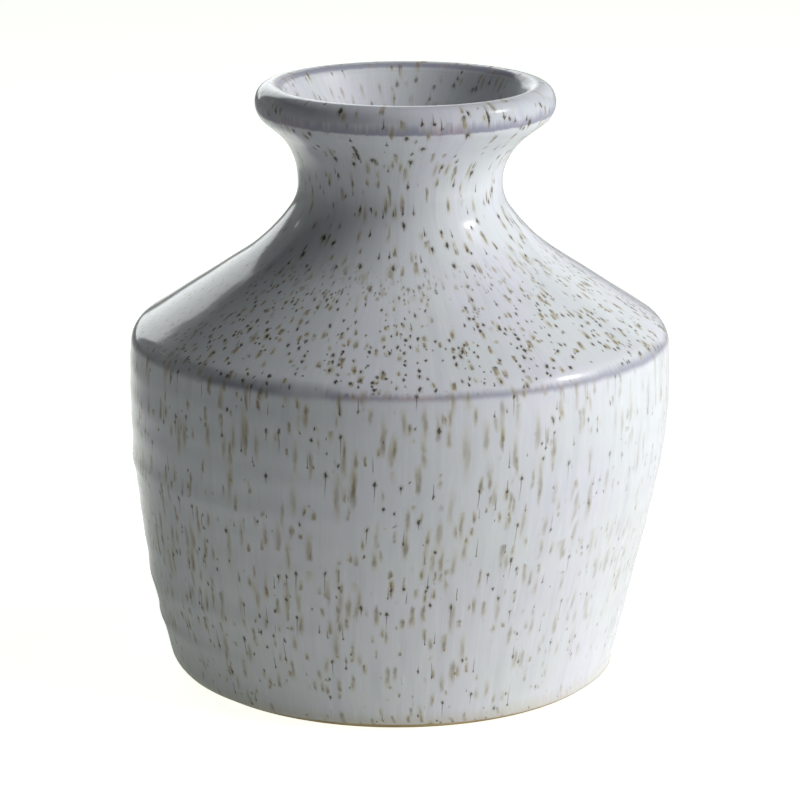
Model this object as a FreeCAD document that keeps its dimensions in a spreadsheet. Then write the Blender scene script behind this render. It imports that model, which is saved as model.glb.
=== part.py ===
"""Stoneware vase: a fired clay body with a wide conical shoulder, a waisted neck and a rolled lip,
under an outside glaze that runs over the lip to the throat, and a liner glaze that fills the inside.

Every piece is a revolution about Z.  The foot ring stands on Z = 0 and the axis of the vase is the Z axis.
An outline is walked with the clay on its left, so a CONVEX arc turns left and a CONCAVE one turns right.
Each arc and line touches its neighbours tangentially.  A glaze surface is the clay's surface moved out
by the glaze's thickness: the same centres and slopes, with larger convex and smaller concave radii.
"""
import FreeCAD, Part
import math
import os
import Sketcher

# Driving dimensions of the fired clay, in millimetres and degrees.
DIMENSIONS = (
    ("overall_height", 145.0, "floor to the top of the glazed lip"),
    ("glaze_thickness", 0.5, "both glaze coats"),
    ("glaze_line", 1.4, "height at which the outside glaze stops above the foot"),
    ("foot_radius", 50.0, "outer edge of the flat ring that the vase stands on"),
    ("foot_inner_radius", 43.0, "inner edge of the flat ring"),
    ("foot_corner", 4.5, "rounding between the foot and the wall"),
    ("recess_depth", 2.0, "underside above the floor, inside the foot ring"),
    ("recess_arc", 2.5, "both roundings of the step into the recess"),
    ("wall_arc", 468.0, "gentle outward swell of the tapered wall"),
    ("belly_radius", 65.3, "widest radius of the body"),
    ("belly_height", 72.5, "height of the widest radius"),
    ("belly_arc", 156.5, "tighter bend of the wall at the belly"),
    ("edge_height", 82.0, "height of the centre of the shoulder edge's rounding"),
    ("edge_arc", 5.6, "rounding of the shoulder edge"),
    ("shoulder_slope", 33.3, "slope of the conical shoulder"),
    ("sweep_arc", 48.8, "hollow sweep from the shoulder to the neck"),
    ("neck_radius", 24.2, "narrowest outside radius"),
    ("neck_height", 121.2, "height of the waist of the neck"),
    ("neck_arc", 11.8, "hollow of the neck below its waist"),
    ("flare_slope", 39.0, "slope of the neck's flare under the lip"),
    ("lip_side_radius", 30.8, "centre of the lip's side, from the axis"),
    ("lip_side_height", 140.6, "centre of the lip's side, above the floor"),
    ("lip_side_arc", 4.8, "roundness of the lip's side"),
    ("lip_crown_arc", 3.4, "roundness of the lip's top"),
    ("mouth_slope", 58.0, "slope of the funnel inside the lip"),
    ("throat_radius", 18.5, "narrowest inside radius"),
    ("inner_edge_height", 78.5, "centre of the rounding inside the shoulder edge"),
    ("inner_edge_arc", 7.0, "rounding inside the shoulder edge"),
    ("inner_belly_radius", 60.3, "widest inside radius"),
    ("inner_belly_arc", 151.5, "bend of the inside wall at the belly"),
    ("inner_wall_arc", 463.0, "swell of the inside wall"),
    ("inner_floor_radius", 43.0, "radius of the flat inside floor"),
    ("inner_floor_corner", 9.0, "rounding between the inside floor and wall"),
    ("inner_floor_height", 8.0, "inside floor above the table"),
)

CONVEX, CONCAVE = 1, -1
START, END, CENTRE = 1, 2, 3
ORIGIN, VERTICAL_AXIS = -1, -2
BARE = "0"
GLAZED = "Dims.glaze_thickness"


def arc(side, radius, centre_r, centre_z):
    """A size given as text is bound to the sheet; a number is a rough value that the tangents settle."""
    return {"side": side, "radius": radius, "centre": (centre_r, centre_z)}


def line(heading):
    """A straight stretch with its heading in degrees; a heading given as a number is a level one."""
    return {"heading": heading}


UNDERSIDE = (
    line(0.0),
    arc(CONCAVE, "Dims.recess_arc", 39.0, -0.5),
    arc(CONVEX, "Dims.recess_arc", "Dims.foot_inner_radius", 2.5),
    line(0.0),
)
OUTSIDE = (
    arc(CONVEX, "Dims.foot_corner", "Dims.foot_radius", "Dims.foot_corner"),
    arc(CONVEX, "Dims.wall_arc", -399.0, 118.5),
    arc(CONVEX, "Dims.belly_arc", "Dims.belly_radius - Dims.belly_arc", "Dims.belly_height"),
    arc(CONVEX, "Dims.edge_arc", 59.4, "Dims.edge_height"),
    line("180 - Dims.shoulder_slope"),
    arc(CONCAVE, "Dims.sweep_arc", 65.9, 142.9),
    arc(CONCAVE, "Dims.neck_arc", "Dims.neck_radius + Dims.neck_arc", "Dims.neck_height"),
    arc(CONCAVE, 16.5, 40.7, "Dims.neck_height"),
    line("Dims.flare_slope"),
    arc(CONVEX, "Dims.lip_side_arc", "Dims.lip_side_radius", "Dims.lip_side_height"),
    arc(CONVEX, "Dims.lip_crown_arc",
        32.1, "Dims.overall_height - Dims.glaze_thickness - Dims.lip_crown_arc"),
    line("Dims.mouth_slope - 180"),
    arc(CONVEX, 15.5, 34.0, "Dims.neck_height"),
)
INSIDE = (
    arc(CONVEX, 21.5, 40.0, 121.2),
    line("-Dims.shoulder_slope"),
    arc(CONCAVE, "Dims.inner_edge_arc", 53.2, "Dims.inner_edge_height"),
    arc(CONCAVE, "Dims.inner_belly_arc",
        "Dims.inner_belly_radius - Dims.inner_belly_arc", "Dims.belly_height"),
    arc(CONCAVE, "Dims.inner_wall_arc", -399.0, 118.5),
    arc(CONCAVE, "Dims.inner_floor_corner",
        "Dims.inner_floor_radius", "Dims.inner_floor_height + Dims.inner_floor_corner"),
    line(180.0),
)


def make_sheet(doc):
    sheet = doc.addObject("Spreadsheet::Sheet", "Dims")
    for row, (alias, value, note) in enumerate(DIMENSIONS, start=1):
        sheet.set("A%d" % row, alias)
        sheet.set("B%d" % row, str(value))
        sheet.setAlias("B%d" % row, alias)
        sheet.set("C%d" % row, note)
    doc.recompute()
    return sheet


def make_sketch(doc, label):
    """A body with one empty sketch on its XZ plane: sketch x is the radius and sketch y is the height."""
    body = doc.addObject("PartDesign::Body", label)
    body.Label = label
    sketch = body.newObject("Sketcher::SketchObject", label + "_outline")
    plane = [feature for feature in body.Origin.OriginFeatures if feature.Role == "XZ_Plane"][0]
    sketch.AttachmentSupport = [(plane, "")]
    sketch.MapMode = "FlatFace"
    doc.recompute()
    return body, sketch


def number(sketch, size):
    """The value of a size, whether it is bound text or a rough number."""
    return float(sketch.evalExpression(size)) if isinstance(size, str) else size


def bind(sketch, constraint, expression):
    index = sketch.addConstraint(constraint)
    name = "size_%d" % index
    sketch.renameConstraint(index, name)
    sketch.setExpression("Constraints." + name, expression)


def bind_place(sketch, geometry, vertex, place_r, place_z):
    """Hold a point at its radius and height, each only where it is given as text."""
    for kind, place in (("DistanceX", place_r), ("DistanceY", place_z)):
        if isinstance(place, str):
            rough = number(sketch, place)
            bind(sketch, Sketcher.Constraint(kind, ORIGIN, START, geometry, vertex, rough), place)


def resolve(sketch, piece, coat):
    """The piece with numbers in place of its expressions, for its first position."""
    if "heading" in piece:
        return {"heading": math.radians(number(sketch, piece["heading"]))}
    centre = FreeCAD.Vector(*(number(sketch, place) for place in piece["centre"]), 0)
    radius = number(sketch, piece["radius"]) + piece["side"] * number(sketch, coat)
    return {"side": piece["side"], "centre": centre, "radius": radius}


def touch(first, second):
    """The point at which two neighbouring pieces touch."""
    if "heading" in second:
        return touch(second, first)
    if "heading" in first:
        heading = first["heading"]
        to_right = FreeCAD.Vector(math.sin(heading), -math.cos(heading), 0)
        return second["centre"] + to_right * second["side"] * second["radius"]
    outward = 1 if first["side"] != second["side"] or first["radius"] > second["radius"] else -1
    return first["centre"] + (second["centre"] - first["centre"]).normalize() * outward * first["radius"]


def draw_arc(sketch, shape, start, finish):
    """Add the arc from start to finish; arcs run anticlockwise, so the ends of a concave one swap."""
    if shape["side"] == CONCAVE:
        start, finish = finish, start
    angles = [math.atan2(*reversed((point - shape["centre"])[:2])) for point in (start, finish)]
    if angles[1] < angles[0]:
        angles[1] += 2 * math.pi
    circle = Part.Circle(shape["centre"], FreeCAD.Vector(0, 0, 1), shape["radius"])
    index = sketch.addGeometry(Part.ArcOfCircle(circle, *angles), False)
    return (index, START, END) if shape["side"] == CONVEX else (index, END, START)


def draw_chain(sketch, pieces, coat, start, finish):
    """Draw the pieces from start to finish, touching; returns (geometry, first, last) of each."""
    shapes = [resolve(sketch, piece, coat) for piece in pieces]
    points = [start] + [touch(one, two) for one, two in zip(shapes, shapes[1:])] + [finish]
    drawn = []
    for piece, shape, near, far in zip(pieces, shapes, points, points[1:]):
        if "heading" in piece:
            index = sketch.addGeometry(Part.LineSegment(near, far), False)
            drawn.append((index, START, END))
            if isinstance(piece["heading"], str):
                slope = Sketcher.Constraint("Angle", index, shape["heading"])
                bind(sketch, slope, "(%s) * 1 deg" % piece["heading"])
            else:
                sketch.addConstraint(Sketcher.Constraint("Horizontal", index))
            continue
        drawn.append(draw_arc(sketch, shape, near, far))
        index = drawn[-1][0]
        if isinstance(piece["radius"], str):
            sign = "+" if piece["side"] == CONVEX else "-"
            radius = "%s %s %s" % (piece["radius"], sign, coat)
            bind(sketch, Sketcher.Constraint("Radius", index, shape["radius"]), radius)
        bind_place(sketch, index, CENTRE, *piece["centre"])
    for one, two in zip(drawn, drawn[1:]):
        sketch.addConstraint(Sketcher.Constraint("Tangent", one[0], one[2], two[0], two[1]))
    return drawn


def close(sketch, one, two):
    """A straight line between two free ends, each given as (geometry, vertex)."""
    point = sketch.getPoint
    index = sketch.addGeometry(Part.LineSegment(point(*one), point(*two)), False)
    sketch.addConstraint(Sketcher.Constraint("Coincident", one[0], one[1], index, START))
    sketch.addConstraint(Sketcher.Constraint("Coincident", index, END, two[0], two[1]))


def on_axis(sketch, geometry, vertex):
    sketch.addConstraint(Sketcher.Constraint("PointOnObject", geometry, vertex, VERTICAL_AXIS))


def throat_place(coat):
    """Radius and height of the narrowest point of the inside."""
    return "Dims.throat_radius - " + coat, "Dims.neck_height"


def place(sketch, place_r, place_z):
    return FreeCAD.Vector(number(sketch, place_r), number(sketch, place_z), 0)


def revolve(doc, body, sketch):
    turned = body.newObject("PartDesign::Revolution", body.Label + "_turned")
    turned.Profile = sketch
    turned.ReferenceAxis = (sketch, ["V_Axis"])
    turned.Angle = 360.0
    sketch.Visibility = False
    body.Placement = FreeCAD.Placement()
    doc.recompute()


def make_clay_body(doc):
    """Foot ring, recessed base, wall, shoulder, neck and rolled lip in one piece of fired stoneware."""
    body, sketch = make_sketch(doc, "clay_body")
    start = place(sketch, 0.0, "Dims.recess_depth")
    finish = place(sketch, 0.0, "Dims.inner_floor_height")
    pieces = UNDERSIDE + OUTSIDE + INSIDE
    drawn = draw_chain(sketch, pieces, BARE, start, finish)
    first, last = drawn[0], drawn[-1]
    on_axis(sketch, first[0], first[1])
    bind_place(sketch, first[0], first[1], None, "Dims.recess_depth")
    on_axis(sketch, last[0], last[2])
    throat = drawn[len(UNDERSIDE + OUTSIDE) - 1]
    bind_place(sketch, throat[0], throat[2], *throat_place(BARE))
    close(sketch, (last[0], last[2]), (first[0], first[1]))
    revolve(doc, body, sketch)
    return body


def make_outer_glaze(doc):
    """Speckled glaze over the wall, shoulder, neck and lip, and down the mouth's funnel to the throat."""
    body, sketch = make_sketch(doc, "outer_glaze")
    ends = []
    for coat in (GLAZED, BARE):
        corner = resolve(sketch, OUTSIDE[0], coat)
        drop = number(sketch, "Dims.glaze_line") - corner["centre"].y
        reach = math.sqrt(corner["radius"] ** 2 - drop ** 2)
        start = corner["centre"] + FreeCAD.Vector(reach, drop, 0)
        drawn = draw_chain(sketch, OUTSIDE, coat, start, place(sketch, *throat_place(coat)))
        first, last = drawn[0], drawn[-1]
        bind_place(sketch, first[0], first[1], None, "Dims.glaze_line")
        bind_place(sketch, last[0], last[2], *throat_place(coat))
        ends.append(((first[0], first[1]), (last[0], last[2])))
    close(sketch, ends[0][0], ends[1][0])
    close(sketch, ends[0][1], ends[1][1])
    revolve(doc, body, sketch)
    return body


def make_inner_glaze(doc):
    """Liner glaze over the inside below the throat, poured in and drained, so it covers the floor too."""
    body, sketch = make_sketch(doc, "inner_glaze")
    ends = []
    for coat in (BARE, GLAZED):
        start = place(sketch, *throat_place(coat))
        floor = "Dims.inner_floor_height + " + coat
        drawn = draw_chain(sketch, INSIDE, coat, start, place(sketch, 0.0, floor))
        first, last = drawn[0], drawn[-1]
        bind_place(sketch, first[0], first[1], *throat_place(coat))
        bind_place(sketch, first[0], CENTRE, None, "Dims.neck_height")
        on_axis(sketch, last[0], last[2])
        ends.append(((first[0], first[1]), (last[0], last[2])))
    close(sketch, ends[0][0], ends[1][0])
    close(sketch, ends[0][1], ends[1][1])
    revolve(doc, body, sketch)
    return body


def check(doc, bodies):
    """Stop before anything is written if a sketch is loose or an object or a solid is bad."""
    for item in doc.Objects:
        if "Invalid" in item.State or "Error" in item.State:
            raise RuntimeError("%s is %s" % (item.Label, item.State))
        if item.TypeId == "Sketcher::SketchObject" and not item.FullyConstrained:
            raise RuntimeError("%s isn't fully constrained" % item.Label)
    for body in bodies:
        if body.Shape.isNull() or not body.Shape.isValid() or len(body.Shape.Solids) != 1:
            raise RuntimeError("%s has a bad shape" % body.Label)


doc = FreeCAD.newDocument("stoneware_vase")
make_sheet(doc)
bodies = [make_clay_body(doc), make_outer_glaze(doc), make_inner_glaze(doc)]
check(doc, bodies)

os.makedirs("parts", exist_ok=True)
for body in bodies:
    box = body.Shape.optimalBoundingBox(False, False)
    print("%s: volume %.1f mm3, radius %.2f, z %.2f to %.2f"
          % (body.Label, body.Shape.Volume, box.XMax, box.ZMin, box.ZMax))
    body.Shape.exportStep("parts/%s.step" % body.Label)
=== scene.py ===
"""Looks of the stoneware vase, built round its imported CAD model.

The outline of each piece is read from its CAD mesh, turned back into smooth arcs, revolved on a fine
grid and given the slight unevenness of a pot thrown by hand.  The glaze is a procedural material: iron
specks that ran down the wall, short flecks on the shoulder, and thin violet-grey glaze along the edges.
"""
import bmesh
import bpy
import math
import numpy as np
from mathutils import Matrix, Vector


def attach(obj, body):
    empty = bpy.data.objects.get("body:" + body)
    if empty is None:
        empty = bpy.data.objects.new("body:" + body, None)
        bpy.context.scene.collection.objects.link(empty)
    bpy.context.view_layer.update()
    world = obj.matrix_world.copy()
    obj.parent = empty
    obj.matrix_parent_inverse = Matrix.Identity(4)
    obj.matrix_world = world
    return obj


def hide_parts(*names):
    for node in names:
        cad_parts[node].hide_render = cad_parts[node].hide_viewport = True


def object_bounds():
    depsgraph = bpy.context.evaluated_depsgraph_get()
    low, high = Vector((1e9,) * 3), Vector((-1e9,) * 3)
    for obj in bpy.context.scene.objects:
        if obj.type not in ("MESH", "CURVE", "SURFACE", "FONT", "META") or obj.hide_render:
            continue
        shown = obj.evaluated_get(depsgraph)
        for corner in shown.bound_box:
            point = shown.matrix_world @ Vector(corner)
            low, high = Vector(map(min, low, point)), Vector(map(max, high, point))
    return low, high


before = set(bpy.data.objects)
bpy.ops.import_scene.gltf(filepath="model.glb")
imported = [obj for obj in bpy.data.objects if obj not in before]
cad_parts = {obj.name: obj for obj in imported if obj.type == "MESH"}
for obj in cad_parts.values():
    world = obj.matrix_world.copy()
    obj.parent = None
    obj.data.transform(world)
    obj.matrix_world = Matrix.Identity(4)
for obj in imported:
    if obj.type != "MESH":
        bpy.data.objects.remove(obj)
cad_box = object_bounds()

MM = 0.001
TINY = 1e-6
HEIGHT = cad_box[1].z - cad_box[0].z

# The camera looks at a point of the vase's axis from a little above.
CAMERA_DISTANCE = 5.3 * HEIGHT
CAMERA_PITCH = math.radians(15.25)
CAMERA_AIM = 0.457 * HEIGHT
CAMERA_LENS = 145.84
LIGHT_DISTANCE = 6 * HEIGHT

# The grid that the pieces are revolved on.
SEGMENTS = 288
LONGEST_STEP = 0.85 * MM
CLAY_STEP = 1.6 * MM
HIDDEN_STEP = 4.0 * MM
SHARPEST_STEP = math.radians(6.0)

# The vase leans and bulges a little: (height as a share of the whole, shift along X).
LEAN = (
    (0.00, -0.8 * MM),
    (0.03, -2.0 * MM),
    (0.13, -2.0 * MM),
    (0.50, 0.0 * MM),
    (0.84, 0.1 * MM),
    (0.96, 1.3 * MM),
)
# Ridges left by the fingers: (share of the height, proudness, half-width, direction, half-spread), the
# last two in degrees round the vase.
RIDGES = (
    (0.372, 0.45 * MM, 2.4 * MM, 180.0, 60.0),
    (0.168, 0.45 * MM, 2.8 * MM, 180.0, 70.0),
    (0.100, 0.40 * MM, 1.8 * MM, 180.0, 60.0),
    (0.250, 0.15 * MM, 3.5 * MM, 290.0, 80.0),
)
# Throwing rings, and how far the vase is out of round.
RING_PITCH = 7.3 * MM
RING_DEPTH = 0.04 * MM
OVAL = 0.15 * MM
TRIANGULAR = 0.6 * OVAL
TYPICAL_RADIUS = 0.4 * HEIGHT
FOOT_STAYS_ROUND = 6 * MM
# The line where the glaze stops above the foot: how far it is drawn back, and its waves round the foot,
# each (depth, waves, start).  The draw-back dies out over a few millimetres of the wall.
GLAZE_LINE = 0.55 * MM
GLAZE_LINE_WAVES = ((0.18 * MM, 3, 1.0), (0.10 * MM, 7, 0.0))
DRAW_BACK_REACH = 3 * MM


# ---------------------------------------------------------------- stage

def make_camera():
    data = bpy.data.cameras.new("camera")
    data.lens = CAMERA_LENS
    data.sensor_width = 36.0
    data.clip_start = 0.01
    camera = bpy.data.objects.new("camera", data)
    rise = CAMERA_DISTANCE * math.tan(CAMERA_PITCH)
    camera.location = (0.0, -CAMERA_DISTANCE, CAMERA_AIM + rise)
    camera.rotation_euler = (math.pi / 2 - CAMERA_PITCH, 0.0, 0.0)
    bpy.context.scene.collection.objects.link(camera)
    bpy.context.scene.camera = camera


def softbox(name, azimuth, elevation, spread, power, tint, mirrored):
    """A round lamp that faces the vase."""
    turn, rise = math.radians(azimuth), math.radians(elevation)
    away = Vector((math.cos(turn) * math.cos(rise), math.sin(turn) * math.cos(rise), math.sin(rise)))
    data = bpy.data.lights.new(name, "AREA")
    data.shape = "DISK"
    data.size = 2 * LIGHT_DISTANCE * math.tan(math.radians(spread / 2))
    data.energy = power
    data.color = tint
    light = bpy.data.objects.new(name, data)
    light.location = away * LIGHT_DISTANCE + Vector((0.0, 0.0, HEIGHT / 2))
    light.rotation_euler = away.to_track_quat("Z", "Y").to_euler()
    light.visible_camera = False
    light.visible_glossy = mirrored
    bpy.context.scene.collection.objects.link(light)


# ---------------------------------------------------------------- outlines from the frame

def meridian(node):
    """A node's mesh corners (radius, height) on its +X half-plane, in order along its outline."""
    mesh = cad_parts[node].data
    on_plane = {}
    for corner in mesh.vertices:
        if abs(corner.co.y) < TINY and corner.co.x > -TINY:
            on_plane[corner.index] = (round(corner.co.x, 7), round(corner.co.z, 7))
    links = {}
    for edge in mesh.edges:
        one, two = (on_plane.get(index) for index in edge.vertices)
        if one and two and one != two:
            links.setdefault(one, set()).add(two)
            links.setdefault(two, set()).add(one)
    ends = sorted(point for point in links if len(links[point]) == 1)
    walk = [ends[-1] if ends else min(links, key=lambda point: (point[1], -point[0]))]
    came_from = None
    while True:
        onward = sorted(links[walk[-1]] - {came_from}, key=lambda point: -point[0])
        if not onward or onward[0] == walk[0]:
            return np.array(walk)
        came_from = walk[-1]
        walk.append(onward[0])


def arc_turns(points):
    """The turn of each stretch between two points, where every stretch is an arc that leaves its
    neighbour smoothly.  The first turn is the one that keeps the curvature even along the arcs."""
    steps = np.diff(points, axis=0)
    lengths = np.hypot(*steps.T)
    bends = np.diff(np.unwrap(np.arctan2(steps[:, 1], steps[:, 0])))
    turns = np.zeros(len(steps))
    for index, bend in enumerate(bends):
        turns[index + 1] = 2 * bend - turns[index]
    swing = (-1.0) ** np.arange(len(turns))
    return turns - swing * np.median(np.diff(turns / lengths) / np.diff(swing / lengths))


def smooth_outline(points, longest):
    """Points along the arcs of an outline, no further apart than longest."""
    found = [points[:1]]
    for start, finish, turn in zip(points, points[1:], arc_turns(points)):
        chord = finish - start
        length, heading = math.hypot(*chord), math.atan2(chord[1], chord[0])
        count = max(1, math.ceil(max(length / longest, abs(turn) / SHARPEST_STEP) - 0.05))
        share = np.arange(1, count + 1) / count
        if abs(turn) < TINY:
            found.append(start + np.outer(share, chord))
            continue
        reach = length * np.sin(turn * share / 2) / math.sin(turn / 2)
        angle = heading - turn / 2 + turn * share / 2
        found.append(start + np.c_[reach * np.cos(angle), reach * np.sin(angle)])
    return np.vstack(found)


def distance_along(outline):
    return np.r_[0.0, np.cumsum(np.hypot(*np.diff(outline, axis=0).T))]


def glaze_outlines(node):
    """A glaze coat's own surface as a fine outline, and the side on the clay as a coarse one."""
    corners = meridian(node)
    last = int(np.argmin(corners[:, 0])) + 1
    return smooth_outline(corners[:last], LONGEST_STEP), smooth_outline(corners[last:], HIDDEN_STEP)


def landmarks(outline):
    """Distances along the outside glaze's outline of the places that the glaze pattern follows."""
    radius, height = outline.T
    along = distance_along(outline)
    crown = int(np.argmax(height))
    edge = int(np.argmax(np.where(height < 0.7 * HEIGHT, radius + height, 0.0)))
    waist = edge + int(np.argmin(radius[edge:crown]))
    lip = waist + int(np.argmax(radius[waist:crown]))
    mouth = crown + int(np.argmax((height - radius)[crown:]))
    places = {"edge": edge, "waist": waist, "lip": lip, "mouth": mouth, "throat": len(outline) - 1}
    return {name: along[index] for name, index in places.items()}


# ---------------------------------------------------------------- meshes

def eased(value, stations):
    """Goes smoothly from station to station, each (place, size)."""
    result = np.full_like(value, stations[0][1])
    for (here, size), (there, next_size) in zip(stations, stations[1:]):
        share = np.clip((value - here) / (there - here), 0.0, 1.0)
        result += (next_size - size) * share * share * (3 - 2 * share)
    return result


def uneven(angle, radius, height):
    """Where a point of the perfect form lies on the thrown pot.  The foot stays flat."""
    share = height / HEIGHT
    loose = np.clip(height / FOOT_STAYS_ROUND, 0.0, 1.0)
    push = OVAL * np.cos(2 * angle + 0.8) + TRIANGULAR * np.cos(3 * angle + 4 * share)
    push += RING_DEPTH * np.sin(2 * math.pi * height / RING_PITCH + angle)
    for place, proud, half_width, direction, spread in RIDGES:
        off = np.angle(np.exp(1j * (angle - math.radians(direction))))
        beside = np.exp(-(off / math.radians(spread)) ** 2)
        push += proud * beside * np.exp(-((height - place * HEIGHT) / half_width) ** 2)
    radius = radius * (1 + loose * push / TYPICAL_RADIUS)
    shift = eased(share, LEAN)
    return np.stack([radius * np.cos(angle) + shift, radius * np.sin(angle), height], axis=-1)


def turned(outline):
    """The radius and height of every point of an outline, the same all the way round."""
    return [np.repeat(values[:, None], SEGMENTS, axis=1) for values in outline.T]


def slid(outline, reach):
    """As turned, but the start of the outline is drawn back along it by a reach that varies round it."""
    along = distance_along(outline)
    moved = along[:, None] + reach * np.exp(-along[:, None] / DRAW_BACK_REACH)
    return [np.interp(moved, along, values) for values in outline.T]


def revolve(name, grid, along, poles=None):
    """A closed mesh of rings, each a row of the grid of radii and heights.  The rings either make a
    loop or run from one pole to another, with the heights of the poles given."""
    radius, height = grid
    angle = np.broadcast_to(2 * math.pi * np.arange(SEGMENTS) / SEGMENTS, radius.shape)
    points = uneven(angle, radius, height).reshape(-1, 3)
    reached = np.repeat(along[:, None], SEGMENTS, axis=1)
    place = np.stack([np.cos(angle), np.sin(angle), reached], axis=-1).reshape(-1, 3)

    here = np.arange(radius.size).reshape(radius.shape)
    if poles is None:
        here = np.vstack([here, here[:1]])
    across = np.roll(here, -1, axis=1)
    corners = [here[:-1], across[:-1], across[1:], here[1:]]
    faces = np.stack(corners, axis=-1).reshape(-1, 4).tolist()
    for pole, row in zip(poles or (), (0, -1)):
        tip = len(points)
        points = np.vstack([points, uneven(np.zeros(1), np.zeros(1), np.array([pole]))])
        place = np.vstack([place, [1.0, 0.0, along[row]]])
        faces += [(tip, one, two) for one, two in zip(here[row], across[row])]
    mesh = bpy.data.meshes.new(name)
    mesh.from_pydata(points.tolist(), [], faces)
    mesh.attributes.new("place", "FLOAT_VECTOR", "POINT").data.foreach_set("vector", place.ravel())
    face_outwards(mesh)
    mesh.shade_smooth()
    piece = bpy.data.objects.new(name, mesh)
    bpy.context.scene.collection.objects.link(piece)
    return piece


def face_outwards(mesh):
    work = bmesh.new()
    work.from_mesh(mesh)
    bmesh.ops.recalc_face_normals(work, faces=work.faces)
    work.to_mesh(mesh)
    work.free()


def build_pieces():
    """The outside glaze, the liner glaze and the clay, and the landmarks of the outside glaze."""
    outside, under_outside = glaze_outlines("outer_glaze")
    inside, under_inside = glaze_outlines("inner_glaze")
    marks = landmarks(outside)

    turn = 2 * math.pi * np.arange(SEGMENTS) / SEGMENTS
    glaze_line = GLAZE_LINE
    for depth, waves, start in GLAZE_LINE_WAVES:
        glaze_line = glaze_line + depth * np.sin(waves * turn + start)
    top, bottom = slid(outside, glaze_line), slid(under_outside[::-1], glaze_line)
    grid = [np.vstack([one, two[::-1]]) for one, two in zip(top, bottom)]
    along = np.r_[distance_along(outside), marks["throat"] - distance_along(under_outside)]
    outer = revolve("outer_glaze_coat", grid, along)

    chain = np.vstack([inside, under_inside])
    along = marks["throat"] + distance_along(chain)[len(inside) - 1] - distance_along(chain)
    inner = revolve("liner_glaze_coat", turned(chain), along, (chain[0, 1], chain[-1, 1]))

    clay = smooth_outline(meridian("clay_body"), CLAY_STEP)
    along, poles = distance_along(clay), (clay[0, 1], clay[-1, 1])
    body = revolve("bare_clay_body", turned(clay), along, poles)
    return outer, inner, body, marks


# ---------------------------------------------------------------- materials

class Value:
    """A number inside a material.  Arithmetic on it adds the nodes that work the result out."""

    def __init__(self, graph, socket):
        self.graph, self.socket = graph, socket

    def __add__(self, other):
        return self.graph.maths("ADD", self, other)

    def __radd__(self, other):
        return self.graph.maths("ADD", other, self)

    def __sub__(self, other):
        return self.graph.maths("SUBTRACT", self, other)

    def __rsub__(self, other):
        return self.graph.maths("SUBTRACT", other, self)

    def __mul__(self, other):
        return self.graph.maths("MULTIPLY", self, other)

    def __truediv__(self, other):
        return self.graph.maths("DIVIDE", self, other)

    def __abs__(self):
        return self.graph.maths("ABSOLUTE", self)


class Graph:
    """The node tree of a material or world, written as formulas."""

    def __init__(self, owner):
        owner.use_nodes = True
        self.owner, self.tree = owner, owner.node_tree
        self.tree.nodes.clear()

    def node(self, kind, inputs, **settings):
        made = self.tree.nodes.new("ShaderNode" + kind)
        for key, setting in settings.items():
            setattr(made, key, setting)
        for key, value in inputs.items():
            value = getattr(value, "socket", value)
            if isinstance(value, bpy.types.NodeSocket):
                self.tree.links.new(value, made.inputs[key])
            else:
                made.inputs[key].default_value = value
        return made

    def maths(self, operation, *values):
        made = self.node("Math", dict(enumerate(values)), operation=operation)
        return Value(self, made.outputs[0])

    def greater(self, one, two):
        return self.maths("MAXIMUM", one, two)

    def length(self, one, two):
        return self.maths("SQRT", one * one + two * two)

    def vector(self, x, y, z):
        return self.node("CombineXYZ", {"X": x, "Y": y, "Z": z}).outputs[0]

    def parts(self, vector):
        made = self.node("SeparateXYZ", {"Vector": vector})
        return [Value(self, socket) for socket in made.outputs]

    def attribute(self, name):
        return self.node("Attribute", {}, attribute_name=name).outputs["Vector"]

    def step(self, value, start, finish):
        """0 before start and 1 past finish, eased between them."""
        inputs = {"Value": value, "From Min": start, "From Max": finish}
        made = self.node("MapRange", inputs, interpolation_type="SMOOTHSTEP")
        return Value(self, made.outputs[0])

    def band(self, value, middle, half_width, edge):
        """1 within half_width of middle, easing to 0 over edge."""
        return self.step(abs(value - middle), half_width + edge, half_width)

    def noise(self, point, octaves):
        inputs = {"Vector": point, "Scale": 1.0, "Detail": octaves}
        return Value(self, self.node("TexNoise", inputs).outputs[0])

    def mix(self, share, one, two):
        """Colour one, changing to colour two where share is 1."""
        made = self.node("Mix", {0: share, 6: one, 7: two}, data_type="RGBA")
        return made.outputs[2]

    def surface(self, colour, roughness, bump_height):
        """The finished material: bump_height is in millimetres."""
        bump = self.node("Bump", {"Height": bump_height, "Distance": MM, "Strength": 1.0})
        inputs = {"Base Color": colour, "Roughness": roughness, "Normal": bump.outputs[0]}
        shader = self.node("BsdfPrincipled", inputs)
        self.node("OutputMaterial", {"Surface": shader.outputs[0]})
        return self.owner


def colour(red, green, blue):
    """A colour on the usual scale of 0 to 255, as a shader's linear colour."""
    def linear(share):
        return share / 12.92 if share <= 0.04045 else ((share + 0.055) / 1.055) ** 2.4
    return (*(linear(value / 255) for value in (red, green, blue)), 1.0)


PALE = colour(221, 223, 227)
MILKY = colour(234, 236, 239)
ASHEN = colour(202, 205, 211)
GREENISH = colour(214, 219, 217)
LILAC = colour(218, 217, 226)
COOL = colour(204, 213, 232)
THIN = colour(140, 141, 162)
PINKISH = colour(176, 154, 160)
TAN = colour(186, 173, 132)
OLIVE = colour(142, 126, 80)
BROWN = colour(86, 72, 46)
IRON = colour(40, 38, 38)

# The pattern of each part of the glaze is laid round a cylinder of that part's usual radius.
WALL_RADIUS = 0.44 * HEIGHT
SHOULDER_RADIUS = 0.36 * HEIGHT
NECK_RADIUS = 0.20 * HEIGHT

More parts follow.
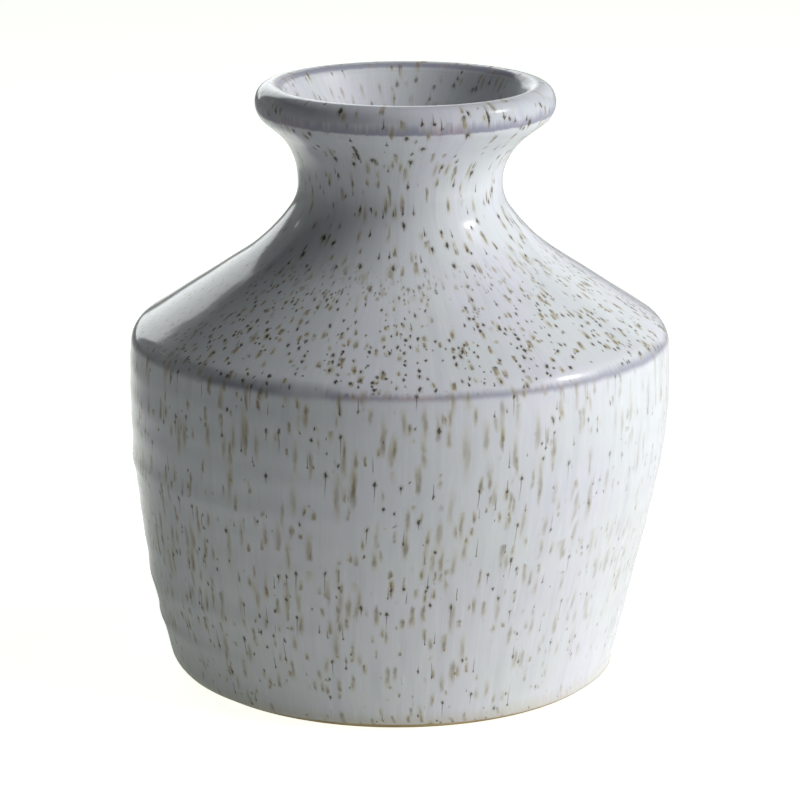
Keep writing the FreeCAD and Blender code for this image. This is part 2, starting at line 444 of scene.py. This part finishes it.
# Noises in the glaze: (cell width round the vase, cell length along it, shift, octaves).
STREAKS = (0.9 * MM, 9 * MM, 0.0, 3.0)
DRIFTS = (4.0 * MM, 26 * MM, 4.0, 2.0)
CLOUDS = (26 * MM, 26 * MM, 9.0, 1.0)
CLUSTERS = (8 * MM, 8 * MM, 2.0, 2.0)
ORANGE_PEEL = (2.4 * MM, 3.4 * MM, 6.0, 1.0)
SWAY = (1.5 * MM, 4.0 * MM, 11.0, 3.0)
SAG = (0.7 * MM, 0.8 * MM, 13.0, 2.0)

# Cooler towards the top, and tan next to the foot: distances along the outline, and the strength.
COOL_FROM, COOL_FULL, COOL_STRENGTH = 30 * MM, 70 * MM, 0.15
FOOT_TAN_ENDS, FOOT_TAN_STRENGTH = 5.0 * MM, 0.35

# Where one zone of marks gives way to the next, from the shoulder's edge and from the waist.
WALL_MARKS_END = (-3.0 * MM, -0.5 * MM)
SHOULDER_MARKS_END = (-34 * MM, -12 * MM)

# Bands of thin glaze, as distances along the outline from the shoulder's edge, the lip's side and the
# rim of the mouth: where the band starts and is full, where it is gone and still full, its strength.
EDGE_STARTS, EDGE_FADES, EDGE_STRENGTH = (-3.9 * MM, -2.5 * MM), (1.5 * MM, -2.7 * MM), 0.66
EDGE_FADE_VARIES = 2.6 * MM
LIP_STARTS, LIP_FADES, LIP_STRENGTH = (-2.4 * MM, -1.8 * MM), (1.9 * MM, -1.6 * MM), 0.88
OVER_LIP_ENDS, OVER_LIP_STRENGTH = 3.0 * MM, 0.26
RIM_LINE, RIM_HALF_WIDTH, RIM_SOFTNESS, RIM_STRENGTH = -0.9 * MM, 0.4 * MM, 0.9 * MM, 0.75

# Soft runs of iron: (zone, radius, cell width and length, half width and length, share of the cells
# that have one, opacity).
SMEARS = (
    ("wall", WALL_RADIUS, 3.6 * MM, 13.0 * MM, 1.25 * MM, 7.2 * MM, 0.85, 0.60),
    ("wall", WALL_RADIUS, 3.0 * MM, 9.0 * MM, 1.00 * MM, 4.6 * MM, 0.75, 0.72),
    ("wall", WALL_RADIUS, 3.4 * MM, 6.0 * MM, 0.85 * MM, 2.2 * MM, 0.45, 0.85),
    ("shoulder", SHOULDER_RADIUS, 2.5 * MM, 3.6 * MM, 0.95 * MM, 1.9 * MM, 0.88, 0.90),
    ("neck", NECK_RADIUS, 2.6 * MM, 5.8 * MM, 0.90 * MM, 2.8 * MM, 0.88, 0.78),
)
# Fine dark runs that end in a speck: (zone, radius, cell width and length, width, length, share).
THREADS = (
    ("wall", WALL_RADIUS, 3.4 * MM, 11.0 * MM, 0.20 * MM, 8.0 * MM, 0.65),
    ("wall", WALL_RADIUS, 3.2 * MM, 5.0 * MM, 0.16 * MM, 1.2 * MM, 0.25),
    ("shoulder", SHOULDER_RADIUS, 1.5 * MM, 1.9 * MM, 0.18 * MM, 1.1 * MM, 0.55),
    ("neck", NECK_RADIUS, 2.8 * MM, 5.4 * MM, 0.24 * MM, 3.4 * MM, 0.72),
)
# How far a seed may lie off the glaze's surface, in cells, and how strongly the marks keep together.
IN_GLAZE = (0.34, 0.36)
CLUSTERING = 2.6
# Runs are shorter near the foot: full length from the second of these distances along the outline.
SHORT_RUNS, FULL_RUNS = 8 * MM, 50 * MM
# Specks gather along one wandering throwing ridge of the wall.
RIDGE, RIDGE_WANDER, RIDGE_HALF_WIDTH, RIDGE_SOFTNESS = 0.26 * HEIGHT, 16 * MM, 0.6 * MM, 2.2 * MM


class Glaze(Graph):
    """A speckled glaze whose pattern is laid out round the vase and along its outline."""

    def __init__(self, owner):
        super().__init__(owner)
        self.cos, self.sin, self.along = self.parts(self.attribute("place"))
        self.sway = self.pattern(SWAY) - 0.5
        self.sag = self.pattern(SAG) - 0.5

    def pattern(self, noise, radius=WALL_RADIUS):
        width, length, shift, octaves = noise
        return self.noise(self.spread(radius, width, length, shift), octaves)

    def spread(self, radius, width, length, shift):
        """A point of an endless pattern, its cells that wide round the vase and that long along it."""
        round_x = self.cos * (radius / width) + shift
        round_y = self.sin * (radius / width) + shift
        return self.vector(round_x, round_y, self.along * (1 / length) + shift)

    def drops(self, radius, width, length, shift):
        """The nearest of many scattered seeds: how far the point lies beside and below it, whether the
        seed is in the glaze at all, and three random numbers that belong to it."""
        point = self.spread(radius, width, length, shift)
        cell = self.node("TexVoronoi", {"Vector": point, "Scale": 1.0})
        inputs = {0: point, 1: cell.outputs["Position"]}
        offset = self.node("VectorMath", inputs, operation="SUBTRACT").outputs[0]
        x, y, z = self.parts(offset)
        beside = (y * self.cos - x * self.sin) * width
        off_surface = abs(x * self.cos + y * self.sin)
        present = self.step(off_surface, IN_GLAZE[1], IN_GLAZE[0])
        return beside, z * (-length), present, self.parts(cell.outputs["Color"])

    def smear(self, cell, half_width, half_length):
        """A soft ragged run of iron, and the dark core that some runs have near one end."""
        beside, below, present, (pick, size, dark) = cell
        scale = size * 0.9 + 0.45
        along = (below + self.sag * (1.6 * MM)) / (scale * half_length)
        across = (beside + self.sway * (1.6 * MM)) / ((scale * 0.5 + 0.5) * half_width)
        run = self.step(abs(across), 1.0, 0.0)
        run = run * self.step(along, -1.0, 0.1) * self.step(along, 1.0, 0.1)
        lean = (dark - 0.5) * 1.1
        core = self.step(self.length(across * 1.4, (along - lean) * 2.4), 1.0, 0.1)
        return run * present, core * present * self.step(abs(lean), 0.15, 0.4), pick

    def thread(self, cell, width, length):
        """A fine dark run, the speck at its upper or lower end, and the stain round the speck."""
        beside, below, present, (pick, size, lean) = cell
        reach = (size * 0.8 + 0.2) * length
        below = below * (self.step(lean, 0.55, 0.56) * 2.0 - 1.0)
        drift = beside + self.sway * (0.5 * MM) + below * (size - 0.5) * 0.07
        line = self.step(abs(drift), width, width * 0.1)
        run = self.step(below, 0.0, width) * self.step(below, reach, reach * 0.2)
        head = (lean * 0.9 + 0.35) * (width * 1.9)
        off_side = beside + self.sag * (0.9 * MM)
        off = self.length(off_side, below * 0.65 + self.sway * (1.3 * MM)) / head
        dot = self.step(off, 1.1, 0.5)
        stain = self.step(off, 2.3, 0.6)
        return line * run * present, dot * present, stain * present, pick


def glaze_zones(glaze, marks):
    """How many marks of each zone's kind a point has.  The neck's go on over the lip and inside."""
    wall_ends = [marks["edge"] + distance for distance in WALL_MARKS_END]
    past_edge = glaze.step(glaze.along, *wall_ends)
    shoulder_ends = [marks["waist"] + distance for distance in SHOULDER_MARKS_END]
    past_shoulder = glaze.step(glaze.along, *shoulder_ends)
    sparse_right = 1.0 - glaze.step(glaze.cos, 0.20, 0.85) * 0.6
    sparse_left = 1.0 - glaze.step(glaze.cos, -0.70, -0.90) * 0.6
    sparse_mouth = 1.0 - glaze.step(glaze.along, marks["mouth"], marks["mouth"] + 4 * MM) * 0.4
    return {
        "wall": sparse_right - past_edge * sparse_right,
        "shoulder": (past_edge - past_shoulder) * sparse_left,
        "neck": past_shoulder * sparse_mouth,
    }


def ground_colour(glaze, fine, broad, cloud):
    """The glaze without its marks: cloudy, and streaked down the vase."""
    tint = glaze.mix(glaze.step(cloud, 0.40, 0.68), GREENISH, LILAC)
    shade = glaze.mix(0.55, PALE, tint)
    shade = glaze.mix(glaze.step(broad, 0.48, 0.75) * 0.45, shade, ASHEN)
    shade = glaze.mix(glaze.step(fine, 0.50, 0.75) * 0.32, shade, MILKY)
    shade = glaze.mix(glaze.step(fine, 0.45, 0.25) * 0.25, shade, ASHEN)
    return glaze.mix(glaze.step(glaze.along, COOL_FROM, COOL_FULL) * COOL_STRENGTH, shade, COOL)


def thin_glaze(glaze, marks, ragged, cloud):
    """How thin the glaze is: it drew back from the shoulder's edge, from the lip and from the rim."""
    along, edge, lip, mouth = glaze.along, marks["edge"], marks["lip"], marks["mouth"]
    patchy = glaze.step(cloud, 0.30, 0.50) * 0.6 + 0.4
    under = along + ragged * 0.5
    gone, still_full = EDGE_FADES
    fade = edge - glaze.step(cloud, 0.35, 0.6) * EDGE_FADE_VARIES + gone
    starts = glaze.step(under, edge + EDGE_STARTS[0], edge + EDGE_STARTS[1])
    thin = starts * glaze.step(under, fade, edge + still_full)
    thin = thin * patchy * EDGE_STRENGTH

    rim = along + ragged * 0.4
    over_lip = glaze.step(rim, mouth, mouth - OVER_LIP_ENDS) * OVER_LIP_STRENGTH
    fades = glaze.step(rim + ragged * 0.8, lip + LIP_FADES[0], lip + LIP_FADES[1])
    lip_band = glaze.greater(over_lip, fades * LIP_STRENGTH)
    starts = glaze.step(rim, lip + LIP_STARTS[0], lip + LIP_STARTS[1])
    thin = glaze.greater(thin, lip_band * starts)
    line = glaze.band(along + ragged * 0.3, mouth + RIM_LINE, RIM_HALF_WIDTH, RIM_SOFTNESS)
    return glaze.greater(thin, line * RIM_STRENGTH)


def add_smears(glaze, shade, specks, zones, cluster, streaky):
    stretch = glaze.step(glaze.along, SHORT_RUNS, FULL_RUNS) * 0.5 + 0.5
    for number, smear in enumerate(SMEARS):
        zone, radius, width, length, half_width, half_length, share, opacity = smear
        cell = glaze.drops(radius, width, length, 3.7 * number + 1.0)
        run, core, pick = glaze.smear(cell, half_width, stretch * half_length)
        chosen = glaze.step(pick - (cluster - 0.5) * CLUSTERING, share, share - 0.2)
        chosen = chosen * zones[zone] * opacity
        cover = run * chosen * streaky
        shade = glaze.mix(cover, shade, glaze.mix(glaze.step(run, 0.3, 1.0), TAN, OLIVE))
        shade = glaze.mix(core * chosen * 0.7, shade, BROWN)
        specks = specks + core * chosen * 0.3
    return shade, specks


def add_threads(glaze, shade, specks, zones, cluster):
    for number, (zone, radius, width, length, thickness, reach, share) in enumerate(THREADS):
        cell = glaze.drops(radius, width, length, 5.3 * number + 2.0)
        line, dot, stain, pick = glaze.thread(cell, thickness, reach)
        chosen = glaze.step(pick - (cluster - 0.5) * CLUSTERING, share, share - 0.15) * zones[zone]
        shade = glaze.mix(stain * chosen * 0.35, shade, OLIVE)
        shade = glaze.mix(line * chosen * 0.7, shade, BROWN)
        shade = glaze.mix(dot * chosen * 0.9, shade, IRON)
        specks = specks + dot * chosen
    return shade, specks


def make_glaze(name, marks):
    glaze = Glaze(bpy.data.materials.new(name))
    along = glaze.along
    zones = glaze_zones(glaze, marks)
    fine, broad, cloud = (glaze.pattern(noise) for noise in (STREAKS, DRIFTS, CLOUDS))
    shade = ground_colour(glaze, fine, broad, cloud)

    ragged = (fine - 0.5) * (1.8 * MM) + (broad - 0.5) * (1.6 * MM)
    thin = thin_glaze(glaze, marks, ragged, cloud)
    bare = glaze.mix(glaze.step(cloud, 0.55, 0.65) * glaze.step(fine, 0.40, 0.6), THIN, PINKISH)
    shade = glaze.mix(thin, shade, bare)
    shade = glaze.mix(glaze.step(along + ragged, FOOT_TAN_ENDS, 0.0) * FOOT_TAN_STRENGTH, shade, TAN)

    cluster = glaze.pattern(CLUSTERS, SHOULDER_RADIUS)
    ridge_line = along + (cloud - 0.5) * RIDGE_WANDER
    cluster = cluster + glaze.band(ridge_line, RIDGE, RIDGE_HALF_WIDTH, RIDGE_SOFTNESS) * 0.28
    streaky = glaze.step(fine, 0.30, 0.60) * 0.5 + 0.5
    shade, specks = add_smears(glaze, shade, 0.0, zones, cluster, streaky)
    shade, specks = add_threads(glaze, shade, specks, zones, cluster)

    bump = glaze.pattern(ORANGE_PEEL) * 0.02 + fine * 0.008
    inside = glaze.step(along, marks["mouth"] - 1.0 * MM, marks["mouth"] + 3.0 * MM)
    roughness = 0.08 + fine * 0.04 + specks * 0.2 + thin * 0.05 + inside * 0.3
    return glaze.surface(shade, roughness, bump)


GRAINS_PER_METRE = 2400
PATCHES_PER_METRE = 60
RINGS_PER_METRE = 900
CLAY = colour(196, 174, 130)
DARKER_CLAY = colour(174, 150, 104)
GRIT = colour(112, 84, 60)


def make_clay(name):
    clay = Graph(bpy.data.materials.new(name))
    point = clay.node("TexCoord", {}).outputs["Object"]
    x, y, z = clay.parts(point)
    grain = clay.noise(clay.vector(*(place * GRAINS_PER_METRE for place in (x, y, z))), 3.0)
    patch = clay.noise(clay.vector(*(place * PATCHES_PER_METRE for place in (x, y, z))), 2.0)
    out_from_axis = clay.length(x, y) * RINGS_PER_METRE
    ring = clay.noise(clay.vector(out_from_axis, 0.0, z * RINGS_PER_METRE), 2.0)
    shade = clay.mix(clay.step(patch, 0.35, 0.7), CLAY, DARKER_CLAY)
    shade = clay.mix(clay.step(grain, 0.62, 0.72) * 0.5, shade, GRIT)
    return clay.surface(shade, 0.85 + grain * 0.1, grain * 0.05 + ring * 0.12)


def paint(piece, material):
    piece.data.materials.append(material)


# ---------------------------------------------------------------- the scene

# The lamps: (name, azimuth, elevation, angle that it covers, power, colour, whether the glaze mirrors
# its shape).  They are placed as seen from the vase: azimuth 0 is +X, and 90 is behind the vase.
WHITE = (1.0, 1.0, 1.0)
WARM = (1.0, 0.95, 0.85)
LAMPS = (
    ("key", -3, 40, 9, 0.75, WHITE, True),
    ("key_halo", -3, 40, 21, 0.55, WHITE, True),
    ("side_fill", -18, 15, 44, 4.45, WHITE, False),
    ("high_fill", -6, 47, 54, 4.0, WHITE, False),
    ("sparkle", 141, 24, 0.7, 0.008, WARM, True),
)

# The backdrop behind the vase: (from this azimuth, to this azimuth, change of its glow), and the height
# of its lower and upper edge, each as a rise per unit of distance, from dark to lit.
BACKDROP = ((58, 62, 0.66), (86, 94, 1.35), (119, 121, -1.69), (148, 152, -0.11))
BACKDROP_FOOT = (-0.03, 0.03)
BACKDROP_TOP = (0.53, 0.47)
BACKDROP_COLOUR = (0.96, 1.0, 1.0, 1.0)

# The table top's own glow: everywhere, next to the vase, and more for the camera alone.
FLOOR_REACH = 60 * HEIGHT
FLOOR_SHADE = colour(231, 231, 231)
FLOOR_GLOW_COLOUR = colour(250, 255, 246)
FLOOR_GLOW = 0.12
FLOOR_GLOW_NEAR = 0.08
FLOOR_GLOW_SEEN = 0.76


def make_floor():
    """A white table top, so far across that its edge isn't seen.  The glaze mirrors a bright patch of
    it behind the vase, brighter on the left."""
    side = FLOOR_REACH
    mesh = bpy.data.meshes.new("floor")
    corners = [(-side, -side, 0.0), (side, -side, 0.0), (side, side, 0.0), (-side, side, 0.0)]
    mesh.from_pydata(corners, [], [(0, 1, 2, 3)])
    floor = bpy.data.objects.new("floor", mesh)
    bpy.context.scene.collection.objects.link(floor)
    top = Graph(bpy.data.materials.new("floor"))
    paths = top.node("LightPath", {}).outputs
    seen, mirrored = Value(top, paths["Is Camera Ray"]), Value(top, paths["Is Glossy Ray"])
    x, y = top.parts(top.node("TexCoord", {}).outputs["Object"])[:2]
    behind = top.step(y, 0.1 * HEIGHT, 1.0 * HEIGHT) * top.step(abs(x), 1.9 * HEIGHT, 1.1 * HEIGHT)
    behind = behind * (top.step(x, 0.5 * HEIGHT, -0.5 * HEIGHT) * 0.4 + 0.2)
    near = top.step(top.length(x, y), 1.3 * HEIGHT, 0.5 * HEIGHT)
    glow = seen * FLOOR_GLOW_SEEN + mirrored * behind + near * FLOOR_GLOW_NEAR + FLOOR_GLOW
    inputs = {
        "Base Color": FLOOR_SHADE,
        "Roughness": 0.9,
        "Emission Color": FLOOR_GLOW_COLOUR,
        "Emission Strength": glow,
    }
    shader = top.node("BsdfPrincipled", inputs)
    top.node("OutputMaterial", {"Surface": shader.outputs[0]})
    paint(floor, top.owner)


def make_studio():
    """A white backdrop stands behind the vase and to its left, and the rest of the room is dark, but
    the camera sees white all round."""
    world = bpy.data.worlds.new("studio")
    bpy.context.scene.world = world
    room = Graph(world)
    x, y, z = room.parts(room.node("TexCoord", {}).outputs["Generated"])
    azimuth = room.maths("ARCTAN2", y, x) * (180 / math.pi)
    glow = 0.0
    for start, finish, change in BACKDROP:
        glow = glow + room.step(azimuth, start, finish) * change
    glow = glow * room.step(z, *BACKDROP_FOOT) * room.step(z, *BACKDROP_TOP)
    seen = Value(room, room.node("LightPath", {}).outputs["Is Camera Ray"])
    strength = room.greater(seen, glow)
    background = room.node("Background", {"Color": BACKDROP_COLOUR, "Strength": strength})
    room.node("OutputWorld", {"Surface": background.outputs[0]})
    for lamp in LAMPS:
        softbox(*lamp)


make_camera()
outer, inner, body, marks = build_pieces()
PLACES = (
    (outer, "outer_glaze", "speckled_glaze"),
    (inner, "inner_glaze", "liner_glaze"),
    (body, "clay_body", "bare_clay"),
)
for piece, node, slot in PLACES:
    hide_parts(node)
    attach(piece, "root")
paint(outer, make_glaze("speckled_glaze", marks))
paint(inner, make_glaze("liner_glaze", marks))
paint(body, make_clay("bare_clay"))

make_floor()
make_studio()
bpy.context.scene.view_settings.view_transform = "Standard"
